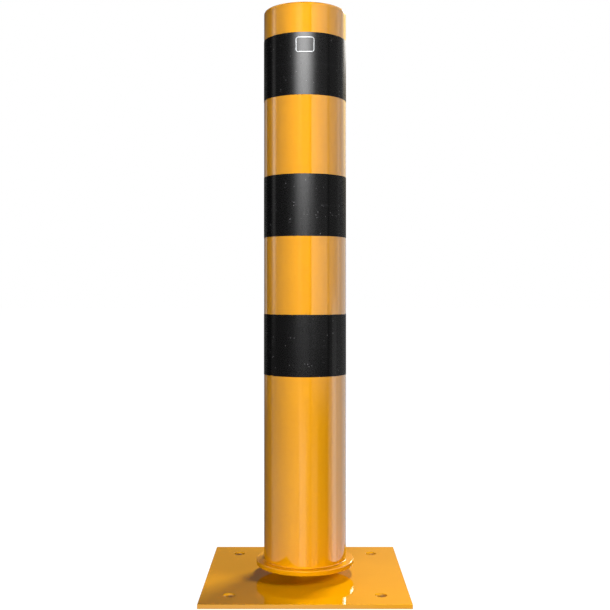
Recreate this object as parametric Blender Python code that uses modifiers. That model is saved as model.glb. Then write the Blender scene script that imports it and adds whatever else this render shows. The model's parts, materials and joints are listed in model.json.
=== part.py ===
"""Flexible steel safety bollard.

A square floor plate carries a short pedestal with a domed head. The post, a capped steel tube welded to a round foot
flange, stands on that dome and is held down by a central tie rod through a stack of polyurethane spring rings inside
the tube. Pushed sideways, the post rocks on the dome until its flange meets the plate, and the springs right it.

Units are metres, +Z is up. The origin is the centre of the floor plate's underside. The badge faces -Y.
"""

import math

import bmesh
import bpy
from mathutils import Vector

# ---------------------------------------------------------------- driving dimensions
GAP = 0.0003  # clearance between faces that touch

PLATE_SIDE = 0.378
PLATE_T = 0.008
ANCHOR_OFFSET = 0.137  # anchor holes at +-this in X and Y
ANCHOR_HOLE_R = 0.011

TUBE_R = 0.0795
TUBE_WALL = 0.0045
TUBE_R_IN = TUBE_R - TUBE_WALL
FLANGE_R = 0.0943
FLANGE_T = 0.0095
FLANGE_LIFT = 0.0208  # open gap between plate and flange
FLANGE_EDGE_R = 0.0016
TOTAL_H = 1.0975
CAP_T = 0.008
CAP_EDGE_R = 0.005
CAP_SPIGOT_T = 0.006

GROOVE = 0.0032  # leg of the flush groove welds on the tube
FILLET = 0.0030  # leg of the fillet weld at the pedestal

BALL_R = 0.040  # radius of the domed head; the post rocks about its centre
PIVOT_Z = PLATE_T - 0.0035
SEAT_NECK_R = 0.021
SEAT_HEAD_R = 0.031
SEAT_TOP_Z = 0.0365
FLANGE_BORE_R = 0.026

ROD_R = 0.015
ROD_TOP_Z = 0.172
ROD_GROOVE = 0.0040
BUFFER_R = 0.048
BUFFER_BORE_R = 0.024
BUFFER_H = 0.035
DIVIDER_R = 0.050
DIVIDER_BORE_R = 0.028
DIVIDER_T = 0.005
WASHER_R = 0.045
WASHER_T = 0.010
NUT_FLATS = 0.046
NUT_H = 0.024
LOCK_NUT_H = 0.015

BAND_H = 0.1165
BAND_Z = (0.9235, 0.6597, 0.3958)  # lower edges: top, middle, bottom
FILM_T = 0.0003
FILM_R_IN = TUBE_R + 0.00025

BADGE_W = 0.035
BADGE_H = 0.0285
BADGE_CORNER = 0.005
BADGE_T = 0.0008
BADGE_Z = 1.0166

STEPS = 72  # round pieces outside
STEPS_IN = 40  # round pieces inside

# ---------------------------------------------------------------- derived levels
FLANGE_Z = PLATE_T + FLANGE_LIFT
TUBE_Z = FLANGE_Z + FLANGE_T + GAP
CAP_Z = TOTAL_H - CAP_T
TUBE_TOP = CAP_Z - GAP
BUFFER_LOW_Z = FLANGE_Z + FLANGE_T + GAP
DIVIDER_Z = BUFFER_LOW_Z + BUFFER_H + GAP
BUFFER_UP_Z = DIVIDER_Z + DIVIDER_T + GAP
WASHER_Z = BUFFER_UP_Z + BUFFER_H + GAP
NUT_Z = WASHER_Z + WASHER_T + GAP
LOCK_NUT_Z = NUT_Z + NUT_H + GAP


# ---------------------------------------------------------------- scene set-up
for old in list(bpy.data.objects):
    bpy.data.objects.remove(old, do_unlink=True)

parts = bpy.data.collections.new("safety_bollard")
cutters = bpy.data.collections.new("cutters")
bpy.context.scene.collection.children.link(parts)
bpy.context.scene.collection.children.link(cutters)


def coat(name, colour, roughness, metallic=0.0):
    """A Principled material of one colour."""
    mat = bpy.data.materials.new(name)
    mat.use_nodes = True
    shader = mat.node_tree.nodes["Principled BSDF"]
    shader.inputs["Base Color"].default_value = (*colour, 1.0)
    shader.inputs["Roughness"].default_value = roughness
    shader.inputs["Metallic"].default_value = metallic
    mat.diffuse_color = (*colour, 1.0)
    return mat


YELLOW = (1.0, 0.40, 0.004)
BLACK = (0.008, 0.008, 0.009)
ZINC = (0.62, 0.63, 0.65)
STEEL = (0.34, 0.34, 0.35)
SILVER = (0.80, 0.80, 0.82)
URETHANE = (0.20, 0.045, 0.012)


def empty(name, z, parent=None):
    """An axis marker that carries the pieces turning about it."""
    mark = bpy.data.objects.new(name, None)
    mark.empty_display_size = 0.05
    parts.objects.link(mark)
    mark.location = (0.0, 0.0, z)
    if parent is not None:
        mark.parent = parent
        mark.location = (0.0, 0.0, 0.0)
    return mark


frame_mark = empty("floor_frame", 0.0)
stack_pivot = empty("stack_pivot", PIVOT_Z)
post_pivot = empty("post_pivot", PIVOT_Z, stack_pivot)
HEIGHT_OF = {frame_mark: 0.0, stack_pivot: PIVOT_Z, post_pivot: PIVOT_Z}


def place(obj, carrier, z, material):
    """Hangs a piece on its carrier with its underside at height z."""
    obj.parent = carrier
    obj.location = (obj.location.x, obj.location.y, z - HEIGHT_OF[carrier])
    obj.data.materials.clear()
    obj.data.materials.append(material)
    return obj


def smooth(obj, degrees=32.0):
    obj.data.shade_smooth()
    obj.data.set_sharp_from_angle(angle=math.radians(degrees))


def settled(obj):
    """Replaces the object's mesh by its evaluated mesh and drops the modifiers."""
    graph = bpy.context.evaluated_depsgraph_get()
    mesh = bpy.data.meshes.new_from_object(obj.evaluated_get(graph))
    obj.modifiers.clear()
    obj.data = mesh
    mesh.name = obj.name


def turned(name, profile, steps, closed, collection=parts):
    """Spins a profile of (radius, height) points about Z. It runs down the outer side; a closed one makes a ring."""
    mesh = bpy.data.meshes.new(name)
    points = [(r, 0.0, z) for r, z in profile]
    edges = [(i, i + 1) for i in range(len(points) - 1)]
    if closed:
        edges.append((len(points) - 1, 0))
    mesh.from_pydata(points, edges, [])
    obj = bpy.data.objects.new(name, mesh)
    collection.objects.link(obj)
    screw = obj.modifiers.new("Turn", "SCREW")
    screw.axis = "Z"
    screw.angle = math.tau
    screw.steps = steps
    screw.render_steps = steps
    screw.use_merge_vertices = True
    screw.merge_threshold = 0.00002
    screw.use_smooth_shade = True
    settled(obj)
    smooth(obj)
    return obj


def arc(cx, cz, radius, start, end, count):
    """Points on a circular arc in the profile plane, angles in degrees from +X towards +Z."""
    found = []
    for i in range(count + 1):
        a = math.radians(start + (end - start) * i / count)
        found.append((cx + radius * math.cos(a), cz + radius * math.sin(a)))
    return found


def drum(name, radius, depth, z_mid, x=0.0, y=0.0, sides=32):
    """A cylinder used to drill a hole along Z."""
    bpy.ops.mesh.primitive_cylinder_add(vertices=sides, radius=radius, depth=depth, location=(x, y, z_mid))
    tool = bpy.context.object
    tool.name = name
    return hide(tool)


def hide(tool):
    for home in list(tool.users_collection):
        home.objects.unlink(tool)
    cutters.objects.link(tool)
    tool.hide_render = True
    tool.display_type = "WIRE"
    return tool


def boolean(obj, tool, operation):
    mod = obj.modifiers.new(tool.name, "BOOLEAN")
    mod.operation = operation
    mod.solver = "EXACT"
    mod.object = tool


def adopt(obj, name):
    """Names a fresh primitive and moves it into the parts collection."""
    for home in list(obj.users_collection):
        home.objects.unlink(obj)
    parts.objects.link(obj)
    obj.name = name
    obj.data.name = name
    return obj


# ---------------------------------------------------------------- floor frame
# Square plate, drilled for four anchors and for the rod. The rod's hole opens out below for its groove weld.
bpy.ops.mesh.primitive_cube_add(size=1.0, location=(0.0, 0.0, 0.0))
plate = adopt(bpy.context.object, "base_plate")
for v in plate.data.vertices:
    v.co = Vector((v.co.x * PLATE_SIDE, v.co.y * PLATE_SIDE, (v.co.z + 0.5) * PLATE_T))
for n, (sx, sy) in enumerate(((-1, -1), (1, -1), (-1, 1), (1, 1))):
    boolean(
        plate,
        drum(f"anchor_drill_{n}", ANCHOR_HOLE_R, PLATE_T * 3, PLATE_T / 2, sx * ANCHOR_OFFSET, sy * ANCHOR_OFFSET),
        "DIFFERENCE",
    )
rod_bore = hide(
    turned(
        "rod_bore",
        [
            (0.0, PLATE_T + 0.002),
            (ROD_R + GAP, PLATE_T + 0.002),
            (ROD_R + GAP, ROD_GROOVE),
            (ROD_R + GAP + ROD_GROOVE + 0.002, -0.002),
            (0.0, -0.002),
        ],
        STEPS_IN,
        False,
        cutters,
    )
)
boolean(plate, rod_bore, "DIFFERENCE")
place(plate, frame_mark, 0.0, coat("plate_coat", YELLOW, 0.22))

# Weld in the groove round the rod's lower end, flush with the plate's underside.
place(
    turned(
        "rod_weld",
        [
            (ROD_R + 2 * GAP, ROD_GROOVE - 3 * GAP),
            (ROD_R + ROD_GROOVE - GAP, GAP),
            (ROD_R + 2 * GAP, GAP),
        ],
        STEPS_IN,
        True,
    ),
    frame_mark,
    0.0,
    coat("rod_weld_coat", YELLOW, 0.35),
)

# Pedestal: a neck, a flare and a head whose top is part of a ball centred on the rocking point.
ball_from = math.degrees(math.asin((SEAT_TOP_Z - PIVOT_Z) / BALL_R))
ball_to = math.degrees(math.acos(SEAT_HEAD_R / BALL_R))
seat_profile = (
    [(ROD_R + GAP, SEAT_TOP_Z)]
    + arc(0.0, PIVOT_Z, BALL_R, ball_from, ball_to, 6)
    + [
        (SEAT_HEAD_R, 0.0215),
        (SEAT_NECK_R, 0.0155),
        (SEAT_NECK_R, PLATE_T + GAP),
        (ROD_R + GAP, PLATE_T + GAP),
    ]
)
place(turned("ball_seat", seat_profile, STEPS_IN, True), frame_mark, 0.0, coat("seat_coat", YELLOW, 0.28))

place(
    turned(
        "seat_weld",
        [
            (SEAT_NECK_R + GAP, PLATE_T + GAP + FILLET),
            (SEAT_NECK_R + GAP + FILLET * 0.42, PLATE_T + GAP + FILLET * 0.42),
            (SEAT_NECK_R + GAP + FILLET, PLATE_T + GAP),
            (SEAT_NECK_R + GAP, PLATE_T + GAP),
        ],
        STEPS_IN,
        True,
    ),
    frame_mark,
    0.0,
    coat("seat_weld_coat", YELLOW, 0.35),
)

# Tie rod with chamfered ends.
place(
    turned(
        "tie_rod",
        [
            (0.0, ROD_TOP_Z),
            (ROD_R - 0.002, ROD_TOP_Z),
            (ROD_R, ROD_TOP_Z - 0.002),
            (ROD_R, 0.0008),
            (0.0, 0.0008),
        ],
        STEPS_IN,
        False,
    ),
    frame_mark,
    0.0,
    coat("rod_zinc", ZINC, 0.35, 1.0),
)

# Thick washer on the spring stack.
place(
    turned(
        "pressure_washer",
        [
            (ROD_R + GAP, WASHER_T),
            (WASHER_R - 0.001, WASHER_T),
            (WASHER_R, WASHER_T - 0.001),
            (WASHER_R, 0.001),
            (WASHER_R - 0.001, 0.0),
            (ROD_R + GAP, 0.0),
        ],
        STEPS_IN,
        True,
    ),
    frame_mark,
    WASHER_Z,
    coat("washer_zinc", ZINC, 0.32, 1.0),
)


def hex_nut(name, height, z, material):
    """A hexagon nut, chamfered on both faces, with a plain bore."""
    corner = NUT_FLATS / 2 / math.cos(math.radians(30))
    bpy.ops.mesh.primitive_cylinder_add(vertices=6, radius=corner, depth=height, location=(0.0, 0.0, 0.0))
    nut = adopt(bpy.context.object, name)
    for v in nut.data.vertices:
        v.co.z += height / 2
    lead = (corner - NUT_FLATS / 2) * 0.62
    blank = hide(
        turned(
            name + "_chamfer",
            [
                (0.0, height + 0.001),
                (NUT_FLATS / 2 - 0.002, height + 0.001),
                (corner + 0.002, height - lead),
                (corner + 0.002, lead),
                (NUT_FLATS / 2 - 0.002, -0.001),
                (0.0, -0.001),
            ],
            STEPS_IN,
            False,
            cutters,
        )
    )
    blank.location.z = z
    drill = drum(name + "_drill", ROD_R + GAP, height * 3, z + height / 2, sides=STEPS_IN)
    place(nut, frame_mark, z, material)
    bpy.context.view_layer.update()
    boolean(nut, blank, "INTERSECT")
    boolean(nut, drill, "DIFFERENCE")
    return nut


hex_nut("clamp_nut", NUT_H, NUT_Z, coat("clamp_nut_zinc", ZINC, 0.3, 1.0))
hex_nut("lock_nut", LOCK_NUT_H, LOCK_NUT_Z, coat("lock_nut_zinc", ZINC, 0.3, 1.0))


# ---------------------------------------------------------------- spring stack
def spring_ring(name, z, material):
    """A polyurethane ring with chamfered edges and a slightly waisted side."""
    waist = 0.0012
    side = [
        (BUFFER_R - waist * math.sin(math.pi * i / 4), BUFFER_H - 0.002 - (BUFFER_H - 0.004) * i / 4) for i in range(5)
    ]
    profile = (
        [(BUFFER_BORE_R, BUFFER_H), (BUFFER_R - 0.002, BUFFER_H)]
        + side
        + [(BUFFER_R - 0.002, 0.0), (BUFFER_BORE_R, 0.0)]
    )
    return place(turned(name, profile, STEPS_IN, True), stack_pivot, z, material)


spring_ring("buffer_lower", BUFFER_LOW_Z, coat("buffer_lower_pu", URETHANE, 0.5))
spring_ring("buffer_upper", BUFFER_UP_Z, coat("buffer_upper_pu", URETHANE, 0.5))
place(
    turned(
        "buffer_divider",
        [(DIVIDER_BORE_R, DIVIDER_T), (DIVIDER_R, DIVIDER_T), (DIVIDER_R, 0.0), (DIVIDER_BORE_R, 0.0)],
        STEPS_IN,
        True,
    ),
    stack_pivot,
    DIVIDER_Z,
    coat("divider_zinc", ZINC, 0.35, 1.0),
)

# ---------------------------------------------------------------- post
# Foot flange: a disc with a rounded upper edge. Its bore opens downwards at 45 degrees to sit on the domed head.
seat_r = (BALL_R + GAP) * math.sin(math.radians(45))
cone_low_r = seat_r + (PIVOT_Z + seat_r - FLANGE_Z)
cone_top = cone_low_r - FLANGE_BORE_R
place(
    turned(
        "foot_flange",
        [(FLANGE_BORE_R, FLANGE_T)]
        + arc(FLANGE_R - FLANGE_EDGE_R, FLANGE_T - FLANGE_EDGE_R, FLANGE_EDGE_R, 90, 0, 4)
        + [(FLANGE_R, 0.0004), (FLANGE_R - 0.0004, 0.0), (cone_low_r, 0.0), (FLANGE_BORE_R, cone_top)],
        STEPS,
        True,
    ),
    post_pivot,
    FLANGE_Z,
    coat("flange_coat", YELLOW, 0.22),
)

# Tube, prepared for groove welds at both ends.
tube_h = TUBE_TOP - TUBE_Z
place(
    turned(
        "post_tube",
        [
            (TUBE_R_IN, tube_h),
            (TUBE_R - GROOVE, tube_h),
            (TUBE_R, tube_h - GROOVE),
            (TUBE_R, GROOVE),
            (TUBE_R - GROOVE, 0.0),
            (TUBE_R_IN, 0.0),
        ],
        STEPS,
        True,
    ),
    post_pivot,
    TUBE_Z,
    coat("tube_coat", YELLOW, 0.2),
)

# Flush groove welds at the tube's foot and head.
place(
    turned(
        "foot_weld",
        [(TUBE_R, GROOVE - 2 * GAP), (TUBE_R, 0.0), (TUBE_R - GROOVE + 2 * GAP, 0.0)],
        STEPS,
        True,
    ),
    post_pivot,
    TUBE_Z,
    coat("foot_weld_coat", YELLOW, 0.24),
)
place(
    turned(
        "cap_weld",
        [(TUBE_R - GROOVE + 2 * GAP, GROOVE), (TUBE_R, GROOVE), (TUBE_R, 2 * GAP)],
        STEPS,
        True,
    ),
    post_pivot,
    TUBE_TOP - GROOVE,
    coat("cap_weld_coat", YELLOW, 0.24),
)

# Lid with a rounded upper edge and a spigot that centres it in the tube.
place(
    turned(
        "top_cap",
        [(0.0, CAP_T)]
        + arc(TUBE_R - CAP_EDGE_R, CAP_T - CAP_EDGE_R, CAP_EDGE_R, 90, 0, 6)
        + [
            (TUBE_R, 0.0),
            (TUBE_R_IN - GAP, 0.0),
            (TUBE_R_IN - GAP, -CAP_SPIGOT_T + 0.001),
            (TUBE_R_IN - GAP - 0.001, -CAP_SPIGOT_T),
            (0.0, -CAP_SPIGOT_T),
        ],
        STEPS,
        False,
    ),
    post_pivot,
    CAP_Z,
    coat("cap_coat", YELLOW, 0.2),
)

# Film bands wrapped round the tube.
for name, z in zip(("band_top", "band_middle", "band_bottom"), BAND_Z):
    place(
        turned(
            name,
            [
                (FILM_R_IN, BAND_H),
                (FILM_R_IN + FILM_T, BAND_H),
                (FILM_R_IN + FILM_T, 0.0),
                (FILM_R_IN, 0.0),
            ],
            STEPS,
            True,
        ),
        post_pivot,
        z,
        coat(name + "_film", BLACK, 0.25),
    )

# Badge: a blank rounded rectangle cut from a thin ring, so that it follows the band's curve.
badge_in = FILM_R_IN + FILM_T + GAP
badge = turned(
    "badge_plate",
    [
        (badge_in, BADGE_H + 0.01),
        (badge_in + BADGE_T, BADGE_H + 0.01),
        (badge_in + BADGE_T, -0.01),
        (badge_in, -0.01),
    ],
    STEPS,
    True,
)
bm = bmesh.new()
bmesh.ops.create_cube(bm, size=1.0)
for v in bm.verts:
    v.co = Vector((v.co.x * BADGE_W, v.co.y * 0.03, v.co.z * BADGE_H))
upright = [e for e in bm.edges if abs(e.verts[0].co.y - e.verts[1].co.y) > 0.01]
bmesh.ops.bevel(bm, geom=upright, offset=BADGE_CORNER, segments=5, profile=0.5, affect="EDGES")
die_mesh = bpy.data.meshes.new("badge_die")
bm.to_mesh(die_mesh)
bm.free()
die = bpy.data.objects.new("badge_die", die_mesh)
parts.objects.link(die)
hide(die)
die.location = (0.0, -badge_in, BADGE_Z)
place(badge, post_pivot, BADGE_Z - BADGE_H / 2, coat("badge_silver", SILVER, 0.3, 1.0))
boolean(badge, die, "INTERSECT")
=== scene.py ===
"""Visual model of the flexible steel safety bollard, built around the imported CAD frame."""

import json
import math

import bmesh
import bpy
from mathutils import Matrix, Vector


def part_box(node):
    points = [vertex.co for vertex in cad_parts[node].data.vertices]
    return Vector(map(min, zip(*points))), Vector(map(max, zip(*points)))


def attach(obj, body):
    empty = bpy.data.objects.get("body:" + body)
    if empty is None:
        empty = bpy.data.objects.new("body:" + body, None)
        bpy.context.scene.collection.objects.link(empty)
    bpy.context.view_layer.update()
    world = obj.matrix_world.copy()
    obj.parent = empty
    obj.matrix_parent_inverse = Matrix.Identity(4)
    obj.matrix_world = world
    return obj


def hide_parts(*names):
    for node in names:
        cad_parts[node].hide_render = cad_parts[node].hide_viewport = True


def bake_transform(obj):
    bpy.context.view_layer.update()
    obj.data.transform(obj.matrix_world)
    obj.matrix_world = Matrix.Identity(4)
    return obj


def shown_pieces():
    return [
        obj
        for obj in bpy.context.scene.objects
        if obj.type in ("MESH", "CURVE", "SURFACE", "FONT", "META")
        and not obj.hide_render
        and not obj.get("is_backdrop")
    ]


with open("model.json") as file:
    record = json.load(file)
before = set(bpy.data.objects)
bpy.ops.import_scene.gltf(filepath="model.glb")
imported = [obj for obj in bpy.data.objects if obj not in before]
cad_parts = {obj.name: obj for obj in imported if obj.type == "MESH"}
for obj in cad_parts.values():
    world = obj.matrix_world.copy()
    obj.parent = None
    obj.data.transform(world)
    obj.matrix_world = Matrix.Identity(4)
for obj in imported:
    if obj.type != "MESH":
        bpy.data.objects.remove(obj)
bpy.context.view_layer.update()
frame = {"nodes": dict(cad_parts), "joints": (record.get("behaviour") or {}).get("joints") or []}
scene = bpy.context.scene
nodes = frame["nodes"]

# ------------------------------------------------------------------ view
scene.view_settings.view_transform = "Standard"
scene.view_settings.look = "None"
scene.view_settings.exposure = 0.0
scene.view_settings.gamma = 1.0

cam_data = bpy.data.cameras.new("camera")
cam_data.sensor_width = 36.0
cam_data.lens = 56.2
cam_data.shift_y = -0.0213
cam_data.clip_start = 0.05
cam_data.clip_end = 60.0
camera = bpy.data.objects.new("camera", cam_data)
camera.location = (0.0, -1.8549, 0.5548)
camera.rotation_euler = (math.radians(90), 0.0, 0.0)
scene.collection.objects.link(camera)
scene.camera = camera


# ------------------------------------------------------------------ node helpers
class Shade:
    """A short way to write a node tree."""

    def __init__(self, name):
        self.mat = bpy.data.materials.new(name)
        self.mat.use_nodes = True
        self.tree = self.mat.node_tree
        self.bsdf = self.tree.nodes["Principled BSDF"]
        self.out = self.tree.nodes["Material Output"]
        self.coords = None

    def add(self, kind, **settings):
        node = self.tree.nodes.new(kind)
        for key, value in settings.items():
            setattr(node, key, value)
        return node

    def link(self, a, b):
        self.tree.links.new(a, b)

    def object_coords(self):
        if self.coords is None:
            self.coords = self.add("ShaderNodeTexCoord").outputs["Object"]
        return self.coords

    def noise(self, scale, detail=2.0, rough=0.5, stretch=None):
        source = self.object_coords()
        if stretch:
            mapping = self.add("ShaderNodeMapping")
            mapping.inputs["Scale"].default_value = stretch
            self.link(source, mapping.inputs["Vector"])
            source = mapping.outputs["Vector"]
        tex = self.add("ShaderNodeTexNoise")
        tex.inputs["Scale"].default_value = scale
        tex.inputs["Detail"].default_value = detail
        tex.inputs["Roughness"].default_value = rough
        self.link(source, tex.inputs["Vector"])
        return tex.outputs["Fac"]

    def spread(self, value, from_low, from_high, to_low, to_high):
        node = self.add("ShaderNodeMapRange")
        node.clamp = True
        for key, number in zip(("From Min", "From Max", "To Min", "To Max"), (from_low, from_high, to_low, to_high)):
            node.inputs[key].default_value = number
        self.link(value, node.inputs["Value"])
        return node.outputs["Result"]

    def math(self, op, a, b):
        node = self.add("ShaderNodeMath", operation=op)
        for socket, value in zip(node.inputs, (a, b)):
            if isinstance(value, (int, float)):
                socket.default_value = value
            else:
                self.link(value, socket)
        return node.outputs["Value"]

    def mix(self, factor, a, b):
        node = self.add("ShaderNodeMix", data_type="RGBA")
        self.link(factor, node.inputs["Factor"])
        for socket, value in ((node.inputs["A"], a), (node.inputs["B"], b)):
            if isinstance(value, tuple):
                socket.default_value = (*value, 1.0)
            else:
                self.link(value, socket)
        return node.outputs["Result"]

    def bump(self, height, strength, distance, normal=None):
        node = self.add("ShaderNodeBump")
        node.inputs["Strength"].default_value = strength
        node.inputs["Distance"].default_value = distance
        self.link(height, node.inputs["Height"])
        if normal is not None:
            self.link(normal, node.inputs["Normal"])
        return node.outputs["Normal"]


PAINT = (0.68, 0.298, 0.0012)


def powder_coat(name, flake=0.38, tone=1.0, peel=1.0, square_edge=None, round_edge=None):
    """Glossy powder coat: a tinted satin base under a clear gloss, with fine orange peel, faint tone drift, specks
    and sparse dull rubs along the outer edges."""
    s = Shade(name)
    drift = s.noise(7.0, 3.0, 0.55)
    fine = s.noise(160.0, 2.0, 0.5)
    base = tuple(c * tone for c in PAINT)
    dull = tuple(c * tone * k for c, k in zip(PAINT, (0.965, 0.95, 1.0)))
    colour = s.mix(s.spread(drift, 0.35, 0.65, 0.0, 1.0), base, dull)
    speck = s.add("ShaderNodeTexVoronoi")
    speck.inputs["Scale"].default_value = 90.0
    s.link(s.object_coords(), speck.inputs["Vector"])
    mark = s.spread(speck.outputs["Distance"], 0.015, 0.035, 1.0, 0.0)
    rare = s.spread(s.noise(31.0, 1.0, 0.5), 0.63, 0.66, 0.0, 0.35)
    colour = s.mix(s.math("MULTIPLY", mark, rare), colour, tuple(c * 0.55 for c in PAINT))
    rough = s.spread(fine, 0.3, 0.7, 0.63, 0.69)
    place = s.add("ShaderNodeSeparateXYZ")
    s.link(s.object_coords(), place.inputs["Vector"])
    reaches = []
    if square_edge:
        out, low, high = square_edge
        reach = s.math("MAXIMUM", s.math("ABSOLUTE", place.outputs["X"], 0.0), s.math("ABSOLUTE", place.outputs["Y"], 0.0))
        reaches.append((reach, out, low, high))
    if round_edge:
        out, low, high = round_edge
        squares = [s.math("POWER", place.outputs[side], 2.0) for side in ("X", "Y")]
        reaches.append((s.math("SQRT", s.math("ADD", *squares), 0.0), out, low, high))
    for reach, out, low, high in reaches:
        half = (high - low) / 2
        rise = s.math("ABSOLUTE", s.math("SUBTRACT", place.outputs["Z"], low + half), 0.0)
        outer = s.spread(reach, out - 0.0013, out - 0.0003, 0.0, 1.0)
        arris = s.spread(rise, half - 0.0013, half - 0.0003, 0.0, 1.0)
        chips = s.spread(s.noise(330.0, 3.0, 0.6), 0.62, 0.68, 0.0, 0.5)
        rub = s.math("MULTIPLY", s.math("MULTIPLY", outer, arris), chips)
        colour = s.mix(rub, colour, (0.26, 0.17, 0.06))
        rough = s.math("ADD", rough, s.math("MULTIPLY", rub, 0.2))
    s.link(colour, s.bsdf.inputs["Base Color"])
    s.bsdf.inputs["Metallic"].default_value = flake
    s.bsdf.inputs["Specular IOR Level"].default_value = 0.0
    s.link(rough, s.bsdf.inputs["Roughness"])
    s.bsdf.inputs["Coat Weight"].default_value = 1.0
    s.bsdf.inputs["Coat Roughness"].default_value = 0.0
    s.bsdf.inputs["Coat IOR"].default_value = 1.5
    peel_height = s.noise(420.0, 1.0, 0.4)
    wave = s.noise(26.0, 1.0, 0.4)
    normal = s.bump(peel_height, 0.006 * peel, 0.0004)
    normal = s.bump(wave, 0.008 * peel, 0.002, normal)
    s.link(normal, s.bsdf.inputs["Coat Normal"])
    s.link(normal, s.bsdf.inputs["Normal"])
    return s.mat


def film(name, lines=()):
    """Black adhesive film: satin gloss, fine grain, sparse pale specks and a faint scuffed line at each given height."""
    s = Shade(name)
    grain = s.noise(900.0, 2.0, 0.6)
    drift = s.noise(14.0, 2.0, 0.5)
    colour = s.mix(s.spread(drift, 0.35, 0.65, 0.0, 1.0), (0.0008, 0.0008, 0.0009), (0.0016, 0.0016, 0.0018))
    speck = s.add("ShaderNodeTexVoronoi")
    speck.inputs["Scale"].default_value = 210.0
    s.link(s.object_coords(), speck.inputs["Vector"])
    mark = s.spread(speck.outputs["Distance"], 0.10, 0.22, 1.0, 0.0)
    rare = s.spread(s.noise(75.0, 1.0, 0.5), 0.60, 0.66, 0.0, 0.9)
    colour = s.mix(s.math("MULTIPLY", mark, rare), colour, (0.26, 0.26, 0.27))
    if lines:
        height = s.add("ShaderNodeSeparateXYZ")
        s.link(s.object_coords(), height.inputs["Vector"])
        broken = s.spread(s.noise(120.0, 2.0, 0.6), 0.42, 0.62, 0.0, 1.0)
        for z in lines:
            away = s.math("ABSOLUTE", s.math("SUBTRACT", height.outputs["Z"], z), 0.0)
            near = s.spread(away, 0.0003, 0.0009, 0.45, 0.0)
            colour = s.mix(s.math("MULTIPLY", near, broken), colour, (0.05, 0.05, 0.054))
    s.link(colour, s.bsdf.inputs["Base Color"])
    s.bsdf.inputs["Specular IOR Level"].default_value = 0.46
    s.link(s.spread(grain, 0.3, 0.7, 0.24, 0.30), s.bsdf.inputs["Roughness"])
    s.link(s.bump(grain, 0.02, 0.0001), s.bsdf.inputs["Normal"])
    s.bsdf.inputs["Coat Weight"].default_value = 0.14
    s.bsdf.inputs["Coat Roughness"].default_value = 0.0
    return s.mat


def bare_metal(name, colour, roughness, stretch):
    """Plated or brushed steel with drawn grain."""
    s = Shade(name)
    grain = s.noise(240.0, 3.0, 0.6, stretch)
    cloud = s.noise(22.0, 2.0, 0.5)
    dark = tuple(c * 0.82 for c in colour)
    s.link(s.mix(s.spread(cloud, 0.3, 0.7, 0.0, 1.0), colour, dark), s.bsdf.inputs["Base Color"])
    s.bsdf.inputs["Metallic"].default_value = 1.0
    s.link(s.spread(grain, 0.3, 0.7, roughness - 0.05, roughness + 0.08), s.bsdf.inputs["Roughness"])
    s.link(s.bump(grain, 0.08, 0.0003), s.bsdf.inputs["Normal"])
    return s.mat


def urethane(name):
    """Cast polyurethane: waxy amber-brown with flow marks."""
    s = Shade(name)
    flow = s.noise(30.0, 4.0, 0.6, (1.0, 1.0, 3.0))
    s.link(s.mix(s.spread(flow, 0.3, 0.7, 0.0, 1.0), (0.24, 0.055, 0.012), (0.15, 0.03, 0.008)), s.bsdf.inputs["Base Color"])
    s.link(s.spread(flow, 0.3, 0.7, 0.38, 0.52), s.bsdf.inputs["Roughness"])
    s.bsdf.inputs["Subsurface Weight"].default_value = 0.08
    s.bsdf.inputs["Subsurface Radius"].default_value = (0.01, 0.003, 0.001)
    s.link(s.bump(flow, 0.1, 0.0006), s.bsdf.inputs["Normal"])
    return s.mat




def reach_of(node):
    """How far a piece reaches out, and its lowest and highest points."""
    low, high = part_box(node)
    return high.x, low.z, high.z


coat_plate = powder_coat("coat_plate", 0.06, square_edge=reach_of("base_plate"))
coat_post = powder_coat("coat_post", round_edge=reach_of("foot_flange"))
coat_frame = powder_coat("coat_frame", 0.06, 0.98, 1.6)
band_rows = [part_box(name) for name in ("band_top", "band_middle", "band_bottom")]
film_black = film("film_black", [(low.z + high.z) / 2 for low, high in band_rows])
film_dark = film("badge_field")
zinc = bare_metal("zinc_plate", (0.62, 0.63, 0.65), 0.3, (1.0, 1.0, 6.0))
silver = bare_metal("badge_silver", (0.40, 0.41, 0.42), 0.38, (6.0, 1.0, 1.0))
rubber = urethane("urethane")


# ------------------------------------------------------------------ mesh helpers
def turned(name, profile, steps=256, closed=True, sharp=32.0):
    """A body of revolution about Z from (radius, height) points that run down its outer side."""
    bm = bmesh.new()
    count = len(profile)
    rings = []
    for r, z in profile:
        if r < 1e-7:
            rings.append([bm.verts.new((0.0, 0.0, z))] * steps)
        else:
            rings.append(
                [
                    bm.verts.new((r * math.cos(math.tau * k / steps), r * math.sin(math.tau * k / steps), z))
                    for k in range(steps)
                ]
            )
    pairs = [(i, i + 1) for i in range(count - 1)]
    if closed:
        pairs.append((count - 1, 0))
    for i, j in pairs:
        for k in range(steps):
            m = (k + 1) % steps
            corners = []
            for v in (rings[i][k], rings[j][k], rings[j][m], rings[i][m]):
                if v not in corners:
                    corners.append(v)
            if len(corners) > 2:
                bm.faces.new(corners)
    bmesh.ops.recalc_face_normals(bm, faces=bm.faces)
    mesh = bpy.data.meshes.new(name)
    bm.to_mesh(mesh)
    bm.free()
    obj = bpy.data.objects.new(name, mesh)
    scene.collection.objects.link(obj)
    mesh.shade_smooth()
    mesh.set_sharp_from_angle(angle=math.radians(sharp))
    return obj


def arc(cx, cz, radius, start, end, count):
    found = []
    for i in range(count + 1):
        a = math.radians(start + (end - start) * i / count)
        found.append((cx + radius * math.cos(a), cz + radius * math.sin(a)))
    return found


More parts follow.
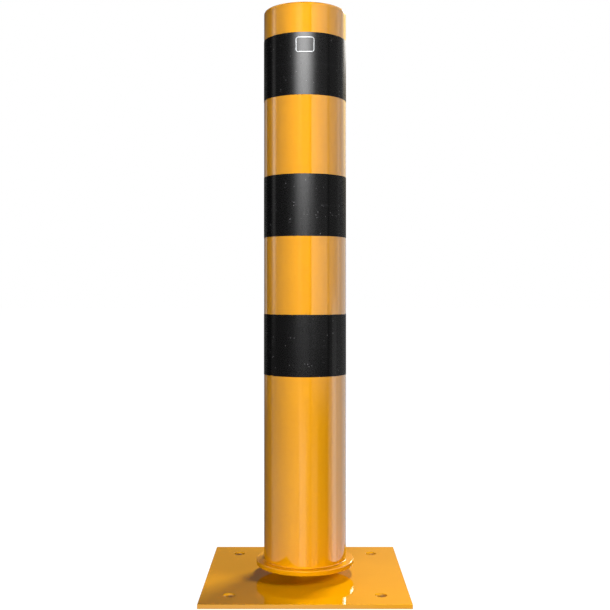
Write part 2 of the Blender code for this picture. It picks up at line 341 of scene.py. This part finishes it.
def finish_piece(obj, material, body, slot, *replaced):
    """Material, flat-true shading beside the small edge bevels, and the frame's bookkeeping. Without a body, the
    piece is left unparented."""
    obj.data.materials.clear()
    obj.data.materials.append(material)
    mod = obj.modifiers.new("true_normals", "WEIGHTED_NORMAL")
    mod.mode = "FACE_AREA"
    mod.weight = 80
    mod.keep_sharp = True
    if body:
        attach(obj, body)
    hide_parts(*replaced)
    return obj


# ------------------------------------------------------------------ base plate
low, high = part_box("base_plate")
half = high.x
plate_t = high.z
anchor = 0.137
hole_r = 0.011
edge = 0.0006


def rounded_plate():
    """The square plate with softly broken edges and drilled, slightly dished anchor holes."""
    bm = bmesh.new()
    bmesh.ops.create_cube(bm, size=1.0)
    for v in bm.verts:
        v.co = Vector((v.co.x * 2 * half, v.co.y * 2 * half, (v.co.z + 0.5) * plate_t))
    bmesh.ops.bevel(bm, geom=bm.edges[:], offset=edge, segments=3, profile=0.5, affect="EDGES")
    mesh = bpy.data.meshes.new("plate_visual")
    bm.to_mesh(mesh)
    bm.free()
    obj = bpy.data.objects.new("plate_visual", mesh)
    scene.collection.objects.link(obj)
    tools = []
    for sx in (-1, 1):
        for sy in (-1, 1):
            lip = 0.0003
            tool = turned(
                "drill",
                [(0.0, plate_t + 0.002), (hole_r + lip + 0.002, plate_t + 0.002)]
                + [(hole_r + lip, plate_t)]
                + [(hole_r + lip * (1 - math.sin(math.radians(a))), plate_t - lip * (1 - math.cos(math.radians(a)))) for a in (30, 60, 90)]
                + [(hole_r, 0.0005), (hole_r + 0.0005, 0.0), (hole_r + 0.0025, -0.002), (0.0, -0.002)],
                steps=96,
                closed=False,
            )
            tool.location = (sx * anchor, sy * anchor, 0.0)
            tools.append(tool)
    rod_low, rod_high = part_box("tie_rod")
    bore = turned(
        "bore",
        [(0.0, plate_t + 0.002), (rod_high.x + 0.0003, plate_t + 0.002), (rod_high.x + 0.0003, 0.004), (rod_high.x + 0.0063, -0.002), (0.0, -0.002)],
        steps=96,
        closed=False,
    )
    tools.append(bore)
    bpy.context.view_layer.update()
    for tool in tools:
        mod = obj.modifiers.new("drill", "BOOLEAN")
        mod.operation = "DIFFERENCE"
        mod.solver = "EXACT"
        mod.object = tool
    graph = bpy.context.evaluated_depsgraph_get()
    final = bpy.data.meshes.new_from_object(obj.evaluated_get(graph))
    obj.modifiers.clear()
    obj.data = final
    for tool in tools:
        bpy.data.objects.remove(tool)
    final.shade_smooth()
    final.set_sharp_from_angle(angle=math.radians(40))
    return obj


finish_piece(rounded_plate(), coat_plate, "floor_frame", "plate_coat", "base_plate")

# ------------------------------------------------------------------ post
flange_low, flange_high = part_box("foot_flange")
tube_low, tube_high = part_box("post_tube")
cap_low, cap_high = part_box("top_cap")
R = tube_high.x
R_IN = R - 0.0045
FR = flange_high.x
fz, ft = flange_low.z, flange_high.z - flange_low.z

pivot_z = frame["joints"][0]["pos_m"][2]
seat_r = 0.0403 * math.sin(math.radians(45))
cone_r = seat_r + (pivot_z + seat_r - fz)
flange = turned(
    "flange_visual",
    [(0.026, fz + ft)]
    + arc(FR - 0.0016, fz + ft - 0.0016, 0.0016, 90, 0, 8)
    + arc(FR - 0.0006, fz + 0.0006, 0.0006, 0, -90, 4)
    + [(cone_r + 0.0004, fz), (cone_r - 0.0002, fz + 0.0003), (0.026, fz + cone_r - 0.026)],
    steps=320,
)
finish_piece(flange, coat_post, "post", "post_coat", "foot_flange")

root = 0.0012
tube = turned(
    "tube_visual",
    [(R_IN, cap_high.z - 0.008), (R - 0.0002, cap_high.z - 0.008), (R, cap_high.z - 0.0082)]
    + [(R, fz + ft + root + 0.0003)]
    + arc(R + root, fz + ft + root + 0.0003, root, 180, 270, 5)
    + [(R_IN, fz + ft + 0.0003)],
    steps=320,
)
finish_piece(tube, coat_post, "post", "post_coat", "post_tube", "foot_weld", "cap_weld")

CAP_R = 0.005
cap = turned(
    "cap_visual",
    [(0.0, cap_high.z)]
    + [(R * f, cap_high.z) for f in (0.35, 0.7)]
    + arc(R - CAP_R, cap_high.z - CAP_R, CAP_R, 90, 0, 12)
    + [(R, cap_high.z - 0.0079), (R - 0.0002, cap_high.z - 0.008), (R_IN - 0.0003, cap_high.z - 0.008), (R_IN - 0.0003, cap_low.z), (0.0, cap_low.z)],
    steps=320,
    closed=False,
)
finish_piece(cap, coat_post, "post", "post_coat", "top_cap")

for name in ("band_top", "band_middle", "band_bottom"):
    b_low, b_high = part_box(name)
    rim = 0.00012
    ring = turned(
        name + "_film",
        [(R + 0.00005, b_high.z)]
        + [(R + 0.0004 - rim, b_high.z), (R + 0.0004, b_high.z - rim), (R + 0.0004, b_low.z + rim), (R + 0.0004 - rim, b_low.z)]
        + [(R + 0.00005, b_low.z)],
        steps=320,
        sharp=60.0,
    )
    finish_piece(ring, film_black, "post", "black_film", name)
    # the film's free end laps over its start at the back
    columns = []
    for i in range(13):
        turn = math.radians(176.4 + 7.2 * i / 12)
        span = [(R + 0.00041, b_low.z + 0.0001), (R + 0.00062, b_low.z + 0.0003), (R + 0.00062, b_high.z - 0.0003), (R + 0.00041, b_high.z - 0.0001)]
        columns.append([(r * math.sin(turn), -r * math.cos(turn), z) for r, z in span])
    bm = bmesh.new()
    grid = [[bm.verts.new(point) for point in column] for column in columns]
    for a, b in zip(grid, grid[1:]):
        for k in range(4):
            m = (k + 1) % 4
            bm.faces.new((a[k], a[m], b[m], b[k]))
    bm.faces.new(grid[0])
    bm.faces.new(list(reversed(grid[-1])))
    bmesh.ops.recalc_face_normals(bm, faces=bm.faces)
    mesh = bpy.data.meshes.new(name + "_lap")
    bm.to_mesh(mesh)
    bm.free()
    lap = bpy.data.objects.new(name + "_lap", mesh)
    scene.collection.objects.link(lap)
    mesh.shade_smooth()
    mesh.set_sharp_from_angle(angle=math.radians(30))
    finish_piece(lap, film_black, "post", "black_film", name)


def badge():
    """A blank rounded nameplate on the band's curve: a raised bright rim around a dark recessed field."""
    b_low, b_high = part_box("badge_plate")
    w, h = b_high.x - b_low.x, b_high.z - b_low.z
    zc = (b_high.z + b_low.z) / 2
    inner = R + 0.0004
    outer = R + 0.0012
    floor_r = outer - 0.0004

    def outline(inset):
        corner = max(0.005 - inset, 0.0012)
        points = []
        run = w / 2 - inset - corner
        for cx, cz, start in ((1, 1, 0), (-1, 1, 90), (-1, -1, 180), (1, -1, 270)):
            for i in range(9):
                a = math.radians(start + 90 * i / 8)
                points.append((cx * run + corner * math.cos(a), cz * (h / 2 - inset - corner) + corner * math.sin(a)))
            if start in (0, 180):
                points += [(cx * run * (1 - i / 8), points[-1][1]) for i in range(1, 16)]
        return points

    def at(x, z, radius):
        t = x / R
        return (radius * math.sin(t), -radius * math.cos(t), zc + z)

    bm = bmesh.new()
    loops = []
    for inset, radius in (
        (0.0, inner),
        (0.0, outer - 0.0003),
        (0.0002, outer - 0.00008),
        (0.0004, outer),
        (0.0011, outer),
        (0.0013, outer - 0.00008),
        (0.0014, floor_r),
    ):
        loops.append([bm.verts.new(at(x, z, radius)) for x, z in outline(inset)])
    n = len(loops[0])
    for a, b in zip(loops, loops[1:]):
        for i in range(n):
            bm.faces.new((a[i], a[(i + 1) % n], b[(i + 1) % n], b[i]))
    field = []
    last = loops[-1]
    for k in (0.8, 0.6, 0.4, 0.2):
        ring = [bm.verts.new(at(x * k, z * k, floor_r)) for x, z in outline(0.0014)]
        for i in range(n):
            field.append(bm.faces.new((last[i], last[(i + 1) % n], ring[(i + 1) % n], ring[i])))
        last = ring
    centre = bm.verts.new(at(0.0, 0.0, floor_r))
    for i in range(n):
        field.append(bm.faces.new((last[i], last[(i + 1) % n], centre)))
    back = loops[0]
    for k in (0.66, 0.33):
        ring = [bm.verts.new(at(x * k, z * k, inner)) for x, z in outline(0.0)]
        for i in range(n):
            bm.faces.new((back[(i + 1) % n], back[i], ring[i], ring[(i + 1) % n]))
        back = ring
    centre = bm.verts.new(at(0.0, 0.0, inner))
    for i in range(n):
        bm.faces.new((back[(i + 1) % n], back[i], centre))
    for face in field:
        face.material_index = 1
    bmesh.ops.recalc_face_normals(bm, faces=bm.faces)
    mesh = bpy.data.meshes.new("badge_visual")
    bm.to_mesh(mesh)
    bm.free()
    obj = bpy.data.objects.new("badge_visual", mesh)
    scene.collection.objects.link(obj)
    mesh.shade_smooth()
    mesh.set_sharp_from_angle(angle=math.radians(50))
    return obj


plate_badge = badge()
field_of = [p.material_index for p in plate_badge.data.polygons]
finish_piece(plate_badge, silver, "post", "badge_metal", "badge_plate")
plate_badge.data.materials.append(film_dark)
for polygon, index in zip(plate_badge.data.polygons, field_of):
    polygon.material_index = index

# ------------------------------------------------------------------ seat
seat_low, seat_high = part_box("ball_seat")
rod_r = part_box("tie_rod")[1].x
neck = 0.021
ball_r = 0.040
from_a = math.degrees(math.asin((seat_high.z - pivot_z) / ball_r))
to_a = math.degrees(math.acos(seat_high.x / ball_r))
seat = turned(
    "seat_visual",
    [(rod_r + 0.0003, seat_high.z)]
    + arc(0.0, pivot_z, ball_r, from_a, to_a, 12)
    + [(seat_high.x, 0.0225), (seat_high.x - 0.0008, 0.0212), (neck + 0.0015, 0.0160), (neck, 0.0145)]
    + [(neck, plate_t + 0.0032)]
    + arc(neck + 0.0031, plate_t + 0.0031, 0.0031, 180, 262, 5)
    + [(rod_r + 0.0003, plate_t + 0.0001)],
    steps=128,
)
finish_piece(seat, coat_frame, "floor_frame", "frame_coat", "ball_seat", "seat_weld")

# ------------------------------------------------------------------ tie rod and spring stack
PITCH = 0.0035
THREAD = 0.0017


def threaded_rod():
    """The tie rod: plain shank below, rolled helical thread from the spring stack to its chamfered tip."""
    r_low, r_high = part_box("tie_rod")
    r, z0, z1 = r_high.x, r_low.z, r_high.z
    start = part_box("buffer_upper")[0].z + 0.010
    steps, per_turn = 72, 7
    heights = [z0, z0 + 0.0008, start - 0.001]
    count = int((z1 - 0.0015 - start) / PITCH * per_turn)
    heights += [start + PITCH * k / per_turn for k in range(count + 1)]
    bm = bmesh.new()
    rings = []
    for z in heights:
        ring = []
        for k in range(steps):
            turn = k / steps
            phase = (z / PITCH - turn) % 1.0
            valley = max(0.0, 1.0 - abs(phase - 0.5) / 0.38)
            run_in = min(max((z - start) / PITCH, 0.0), 1.0)
            run_out = min(max((z1 - 0.0015 - z) / (0.5 * PITCH), 0.0), 1.0)
            cut = THREAD * min(valley * 1.15, 1.0) * run_in * max(run_out, 0.35)
            radius = r - cut - (0.0008 if z == z0 else 0.0)
            ring.append(bm.verts.new((radius * math.cos(math.tau * turn), radius * math.sin(math.tau * turn), z)))
        rings.append(ring)
    tip = [bm.verts.new(((r - 0.0022) * math.cos(math.tau * k / steps), (r - 0.0022) * math.sin(math.tau * k / steps), z1)) for k in range(steps)]
    rings.append(tip)
    for a, b in zip(rings, rings[1:]):
        for k in range(steps):
            m = (k + 1) % steps
            bm.faces.new((a[k], a[m], b[m], b[k]))
    bm.faces.new(list(reversed(rings[0])))
    bm.faces.new(rings[-1])
    bmesh.ops.recalc_face_normals(bm, faces=bm.faces)
    mesh = bpy.data.meshes.new("rod_visual")
    bm.to_mesh(mesh)
    bm.free()
    obj = bpy.data.objects.new("rod_visual", mesh)
    scene.collection.objects.link(obj)
    mesh.shade_smooth()
    mesh.set_sharp_from_angle(angle=math.radians(48))
    return obj


finish_piece(threaded_rod(), zinc, "floor_frame", "zinc_steel", "tie_rod")
thread_r = rod_r + 0.0003


def nut_piece(node):
    """A forged hexagon nut: chamfered crown and washer face, countersunk bore."""
    n_low, n_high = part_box(node)
    z0, z1 = n_low.z, n_high.z
    flats = min(n_high.x - n_low.x, n_high.y - n_low.y) / 2
    along_x = (n_high.x - n_low.x) > (n_high.y - n_low.y)
    corner = flats / math.cos(math.radians(30))
    bm = bmesh.new()
    rows = []
    for z in (z0, z1):
        rows.append(
            [
                bm.verts.new(
                    (
                        corner * math.cos(math.radians(60 * k + (0 if along_x else 30))),
                        corner * math.sin(math.radians(60 * k + (0 if along_x else 30))),
                        z,
                    )
                )
                for k in range(6)
            ]
        )
    for k in range(6):
        m = (k + 1) % 6
        bm.faces.new((rows[0][k], rows[0][m], rows[1][m], rows[1][k]))
    bm.faces.new(list(reversed(rows[0])))
    bm.faces.new(rows[1])
    bmesh.ops.bevel(bm, geom=[e for e in bm.edges if abs(e.verts[0].co.z - e.verts[1].co.z) > 0.001], offset=0.0006, segments=2, profile=0.5, affect="EDGES")
    mesh = bpy.data.meshes.new(node + "_visual")
    bm.to_mesh(mesh)
    bm.free()
    obj = bpy.data.objects.new(node + "_visual", mesh)
    scene.collection.objects.link(obj)
    lead = (corner - flats) * 0.62
    crown = turned(
        "crown",
        [(0.0, z1 + 0.001), (flats - 0.0022, z1 + 0.001), (flats - 0.0006, z1), (corner + 0.001, z1 - lead), (corner + 0.001, z0 + lead), (flats - 0.0006, z0), (flats - 0.0022, z0 - 0.001), (0.0, z0 - 0.001)],
        steps=128,
        closed=False,
    )
    sink = 0.0013
    drill = turned(
        "drill",
        [(0.0, z1 + 0.001), (thread_r + sink + 0.001, z1 + 0.001), (thread_r, z1 - sink), (thread_r, z0 + sink), (thread_r + sink + 0.001, z0 - 0.001), (0.0, z0 - 0.001)],
        steps=96,
        closed=False,
    )
    bpy.context.view_layer.update()
    for tool, operation in ((crown, "INTERSECT"), (drill, "DIFFERENCE")):
        mod = obj.modifiers.new("cut", "BOOLEAN")
        mod.operation = operation
        mod.solver = "EXACT"
        mod.object = tool
    graph = bpy.context.evaluated_depsgraph_get()
    final = bpy.data.meshes.new_from_object(obj.evaluated_get(graph))
    obj.modifiers.clear()
    obj.data = final
    for tool in (crown, drill):
        bpy.data.objects.remove(tool)
    final.shade_smooth()
    final.set_sharp_from_angle(angle=math.radians(28))
    return obj


for node in ("clamp_nut", "lock_nut"):
    finish_piece(nut_piece(node), zinc, "floor_frame", "zinc_steel", node)

w_low, w_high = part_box("pressure_washer")
washer = turned(
    "washer_visual",
    [(thread_r, w_high.z - 0.0005), (thread_r + 0.0005, w_high.z)]
    + arc(w_high.x - 0.0012, w_high.z - 0.0012, 0.0012, 90, 0, 5)
    + arc(w_high.x - 0.0012, w_low.z + 0.0012, 0.0012, 0, -90, 5)
    + [(thread_r + 0.0005, w_low.z), (thread_r, w_low.z + 0.0005)],
    steps=160,
)
finish_piece(washer, zinc, "floor_frame", "zinc_steel", "pressure_washer")

# each rubber ring is left without a body, its placement baked into its mesh
for node, below, above in (("buffer_lower", "post", "spring_stack"), ("buffer_upper", "spring_stack", "floor_frame")):
    u_low, u_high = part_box(node)
    r, z0, z1 = u_high.x, u_low.z, u_high.z
    waist, rim_r, bore = 0.0012, 0.0022, 0.027
    middle = (z0 + z1) / 2
    side_line = []
    for i in range(17):
        f = i / 16
        z = z1 - rim_r - (z1 - z0 - 2 * rim_r) * f
        seam = 0.0003 if abs(z - middle) < 0.0004 else 0.0
        side_line.append((r - waist * math.sin(math.pi * f) + seam, z))
    ring = turned(
        node + "_visual",
        [(bore, z1 - 0.001), (bore + 0.001, z1)]
        + arc(r - rim_r, z1 - rim_r, rim_r, 90, 12, 6)
        + side_line
        + arc(r - rim_r, z0 + rim_r, rim_r, -12, -90, 6)
        + [(bore + 0.001, z0), (bore, z0 + 0.001)]
        + [(bore, z0 + 0.001 + (z1 - z0 - 0.002) * i / 12) for i in range(1, 12)],
        steps=160,
        sharp=40.0,
    )
    finish_piece(ring, rubber, None, "urethane", node)
    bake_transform(ring)

d_low, d_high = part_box("buffer_divider")
divider = turned(
    "divider_visual",
    [(0.028, d_high.z - 0.0004), (0.0284, d_high.z)]
    + arc(d_high.x - 0.0008, d_high.z - 0.0008, 0.0008, 90, 0, 4)
    + arc(d_high.x - 0.0008, d_low.z + 0.0008, 0.0008, 0, -90, 4)
    + [(0.0284, d_low.z), (0.028, d_low.z + 0.0004)],
    steps=160,
)
finish_piece(divider, zinc, "spring_stack", "zinc_steel", "buffer_divider")

# ------------------------------------------------------------------ carried-over piece
weld = nodes["rod_weld"]
weld.data.materials.clear()
weld.data.materials.append(coat_frame)

# ------------------------------------------------------------------ floor
floor_mesh = bpy.data.meshes.new("floor")
bm = bmesh.new()
bmesh.ops.create_grid(bm, x_segments=1, y_segments=1, size=30.0)
bm.to_mesh(floor_mesh)
bm.free()
floor = bpy.data.objects.new("floor", floor_mesh)
floor.location = (0.0, 0.0, -0.0004)
scene.collection.objects.link(floor)
fs = Shade("floor_white")
fs.bsdf.inputs["Base Color"].default_value = (0.1, 0.1, 0.1, 1.0)
fs.bsdf.inputs["Roughness"].default_value = 0.9
fs.bsdf.inputs["Specular IOR Level"].default_value = 0.0
fs.bsdf.inputs["Emission Color"].default_value = (1.0, 1.0, 1.0, 1.0)
fs.bsdf.inputs["Emission Strength"].default_value = 1.0
floor_mesh.materials.append(fs.mat)
floor.visible_glossy = False
floor.visible_diffuse = False
floor.visible_shadow = False
floor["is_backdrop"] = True


# ------------------------------------------------------------------ studio surroundings
# Soft boxes around the object: azimuth from -Y towards +X, half width, elevation, half height,
# softness across, softness up, strength. MIRROR boxes are what the gloss coat reflects at the first bounce,
# LAMP is a lamp it reflects at any bounce, WARM is gold card, SATIN is what the rough lobes see besides the satin lights, and DIFFUSE lights the matt base.
MIRROR = [
    (-60.0, 48.0, 10.0, 70.0, 10.0, 10.0, 0.62),
    (-96.0, 6.0, 8.5, 8.5, 8.0, 12.0, 2.1),
    (-142.0, 6.0, 4.0, 9.0, 3.0, 8.0, 0.8),
    (-16.0, 9.0, 22.0, 9.0, 5.0, 5.0, 0.7),
    (-6.0, 9.0, -20.0, 12.0, 6.0, 6.0, 1.1),
    (-2.0, 14.0, -4.0, 40.0, 8.0, 8.0, 0.5),
    (42.0, 24.0, 17.5, 22.5, 7.0, 7.0, 1.9),
    (90.0, 20.0, 0.0, 60.0, 8.0, 8.0, 1.4),
    (90.0, 9.0, -16.0, 15.0, 4.0, 4.0, 2.0),
    (122.0, 16.0, 0.0, 60.0, 12.0, 12.0, 1.4),
    (150.0, 12.0, -15.0, 35.0, 12.0, 20.0, 1.0),
    (26.0, 9.0, -20.0, 12.0, 6.0, 6.0, 0.55),
    (-60.0, 40.0, -22.0, 12.0, 8.0, 6.0, 0.3),
    (168.0, 11.0, 20.0, 14.0, 10.0, 10.0, 0.1),
]
MIRROR_BASE = 0.12
LAMP = [
    (150.0, 16.0, 21.0, 4.0, 1.5, 2.0, 14.0),
]
WARM = [
    (150.0, 15.8, 22.0, 12.0, 1.5, 20.0, 1.8),
]
SATIN = []
SATIN_BASE = 0.01
DIFFUSE = [
    (112.0, 34.0, 8.0, 26.0, 12.0, 12.0, 0.78),
]
DIFFUSE_BASE = 0.004

world = bpy.data.worlds.new("studio")
scene.world = world
world.use_nodes = True
world.cycles.sampling_method = "NONE"
wt = world.node_tree
for n in list(wt.nodes):
    wt.nodes.remove(n)


def wnode(kind, **settings):
    node = wt.nodes.new(kind)
    for key, value in settings.items():
        setattr(node, key, value)
    return node


def wmath(op, a, b=None):
    node = wnode("ShaderNodeMath", operation=op)
    for socket, value in zip(node.inputs, (a, b)):
        if value is None:
            continue
        if isinstance(value, (int, float)):
            socket.default_value = value
        else:
            wt.links.new(value, socket)
    return node.outputs["Value"]


coord = wnode("ShaderNodeTexCoord")
split = wnode("ShaderNodeSeparateXYZ")
wt.links.new(coord.outputs["Generated"], split.inputs["Vector"])
azimuth = wmath("MULTIPLY", wmath("ARCTAN2", split.outputs["X"], wmath("MULTIPLY", split.outputs["Y"], -1.0)), 180 / math.pi)
elevation = wmath("MULTIPLY", wmath("ARCSINE", split.outputs["Z"]), 180 / math.pi)


def soft_step(value, low_edge, high_edge):
    node = wnode("ShaderNodeMapRange")
    node.interpolation_type = "SMOOTHSTEP"
    node.inputs["From Min"].default_value = low_edge
    node.inputs["From Max"].default_value = high_edge
    wt.links.new(value, node.inputs["Value"])
    return node.outputs["Result"]


def boxes(spec, base):
    total = None
    for az, half_w, el, half_h, soft, soft_up, strength in spec:
        da = wmath("ABSOLUTE", wmath("WRAP", wmath("SUBTRACT", azimuth, az), 180.0))
        wrap = da.node.inputs[0].links[0].from_node
        wrap.inputs[2].default_value = -180.0
        de = wmath("ABSOLUTE", wmath("SUBTRACT", elevation, el))
        a = wmath("SUBTRACT", 1.0, soft_step(da, half_w - soft / 2, half_w + soft / 2))
        e = wmath("SUBTRACT", 1.0, soft_step(de, half_h - soft_up / 2, half_h + soft_up / 2))
        term = wmath("MULTIPLY", wmath("MULTIPLY", a, e), strength)
        total = term if total is None else wmath("ADD", total, term)
    return base if total is None else wmath("ADD", total, base)


path = wnode("ShaderNodeLightPath")
is_mirror = path.outputs["Is Singular Ray"]
is_first = wmath("LESS_THAN", path.outputs["Glossy Depth"], 1.5)
is_satin = wmath("SUBTRACT", path.outputs["Is Glossy Ray"], is_mirror)
strength = path.outputs["Is Camera Ray"]
for share, level in (
    (wmath("MULTIPLY", is_mirror, is_first), boxes(MIRROR, MIRROR_BASE)),
    (is_mirror, boxes(LAMP, 0.0)),
    (is_satin, boxes(SATIN, SATIN_BASE)),
    (path.outputs["Is Diffuse Ray"], boxes(DIFFUSE, DIFFUSE_BASE)),
):
    strength = wmath("ADD", strength, wmath("MULTIPLY", share, level))
sheets = []
for colour, level in (
    ((1.0, 1.0, 1.0, 1.0), strength),
    ((1.0, 0.66, 0.03, 1.0), wmath("MULTIPLY", is_mirror, boxes(WARM, 0.0))),
):
    sheet = wnode("ShaderNodeBackground")
    sheet.inputs["Color"].default_value = colour
    wt.links.new(level, sheet.inputs["Strength"])
    sheets.append(sheet.outputs["Background"])
both = wnode("ShaderNodeAddShader")
for socket, sheet in zip(both.inputs, sheets):
    wt.links.new(sheet, socket)
wout = wnode("ShaderNodeOutputWorld")
wt.links.new(both.outputs["Shader"], wout.inputs["Surface"])


# ------------------------------------------------------------------ lights
def softbox(name, azimuth_deg, distance, height, aim_z, width, tall, power):
    """A rectangular light; azimuth runs from -Y towards +X, distance is horizontal."""
    data = bpy.data.lights.new(name, "AREA")
    data.shape = "RECTANGLE"
    data.size = width
    data.size_y = tall
    data.energy = power
    obj = bpy.data.objects.new(name, data)
    a = math.radians(azimuth_deg)
    obj.location = (distance * math.sin(a), -distance * math.cos(a), height)
    obj.rotation_euler = (Vector((0.0, 0.0, aim_z)) - obj.location).to_track_quat("-Z", "Y").to_euler()
    obj.visible_glossy = False
    obj.visible_camera = False
    scene.collection.objects.link(obj)
    return obj


def satin_panel(name, azimuth_deg, elevation_deg, half_w, half_h, soft_w, soft_h, level, distance=12.0):
    """A far glowing sheet that only rough gloss lobes see; its glow fades out over the soft share of each half."""
    wide = distance * math.tan(math.radians(half_w))
    tall = distance * math.tan(math.radians(half_h))
    mesh = bpy.data.meshes.new(name)
    bm = bmesh.new()
    corners = [bm.verts.new((x * wide, y * tall, 0.0)) for x, y in ((-1, -1), (1, -1), (1, 1), (-1, 1))]
    bm.faces.new(corners)
    bm.to_mesh(mesh)
    bm.free()
    obj = bpy.data.objects.new(name, mesh)
    glow = Shade(name)
    glow.mat.node_tree.nodes.remove(glow.bsdf)
    spot = glow.add("ShaderNodeSeparateXYZ")
    glow.link(glow.object_coords(), spot.inputs["Vector"])
    strength = None
    for side, reach, soft in (("X", wide, soft_w), ("Y", tall, soft_h)):
        fade = glow.add("ShaderNodeMapRange", interpolation_type="SMOOTHSTEP")
        for key, number in (("From Min", reach * (1.0 - soft)), ("From Max", reach), ("To Min", 1.0), ("To Max", 0.0)):
            fade.inputs[key].default_value = number
        glow.link(glow.math("ABSOLUTE", spot.outputs[side], 0.0), fade.inputs["Value"])
        strength = glow.math("MULTIPLY", fade.outputs["Result"], level if strength is None else strength)
    emission = glow.add("ShaderNodeEmission")
    glow.link(strength, emission.inputs["Strength"])
    gone = glow.add("ShaderNodeBsdfTransparent")
    blend = glow.add("ShaderNodeMixShader")
    glow.link(glow.add("ShaderNodeLightPath").outputs["Is Singular Ray"], blend.inputs["Fac"])
    glow.link(emission.outputs["Emission"], blend.inputs[1])
    glow.link(gone.outputs["BSDF"], blend.inputs[2])
    glow.link(blend.outputs["Shader"], glow.out.inputs["Surface"])
    mesh.materials.append(glow.mat)
    a, e = math.radians(azimuth_deg), math.radians(elevation_deg)
    centre = Vector((0.0, 0.0, 0.55))
    obj.location = centre + distance * Vector((math.cos(e) * math.sin(a), -math.cos(e) * math.cos(a), math.sin(e)))
    obj.rotation_euler = (obj.location - centre).to_track_quat("-Z", "Y").to_euler()
    obj.visible_diffuse = False
    obj.visible_camera = False
    obj.visible_shadow = False
    obj.visible_transmission = False
    scene.collection.objects.link(obj)
    obj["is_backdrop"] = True
    return obj


GLOSS_LEVEL = 21.0
RIM_LEVEL = 9.2
gloss = satin_panel("gloss_panel", -3.0, 34.0, 31.0, 28.0, 0.9, 0.65, GLOSS_LEVEL)
rim_glow = satin_panel("rim_panel", 158.0, 28.0, 20.0, 14.0, 0.4, 0.55, RIM_LEVEL)
FRONT_POWER = 1.0
LOW_POWER = 152.0
KEY_POWER = 47.5
SIDE_POWER = 7.6
BACK_POWER = 140.0
LEFT_POWER = 42.0
softbox("front_box", -4.0, 3.6, 3.1, 0.5, 1.4, 0.5, FRONT_POWER)
softbox("low_box", -4.0, 4.0, 0.75, 0.5, 1.2, 0.5, LOW_POWER)
softbox("key_box", 149.0, 0.8, 2.1, 0.0, 0.3, 0.3, KEY_POWER)
side = softbox("side_box", 60.0, 0.8, 0.5, 0.0, 0.3, 0.3, SIDE_POWER)
back = softbox("back_box", 162.0, 3.2, 1.5, 0.5, 1.2, 0.8, BACK_POWER)
left = softbox("left_box", -97.0, 3.0, 0.05, 0.004, 0.8, 0.06, LEFT_POWER)
low_things = bpy.data.collections.new("lit_low")
tall_things = bpy.data.collections.new("lit_tall")
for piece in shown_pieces():
    (low_things if piece.name.startswith("plate_visual") else tall_things).objects.link(piece)
for lamp in (side, left):
    lamp.light_linking.receiver_collection = low_things
for lamp in (back, gloss, rim_glow):
    lamp.light_linking.receiver_collection = tall_things
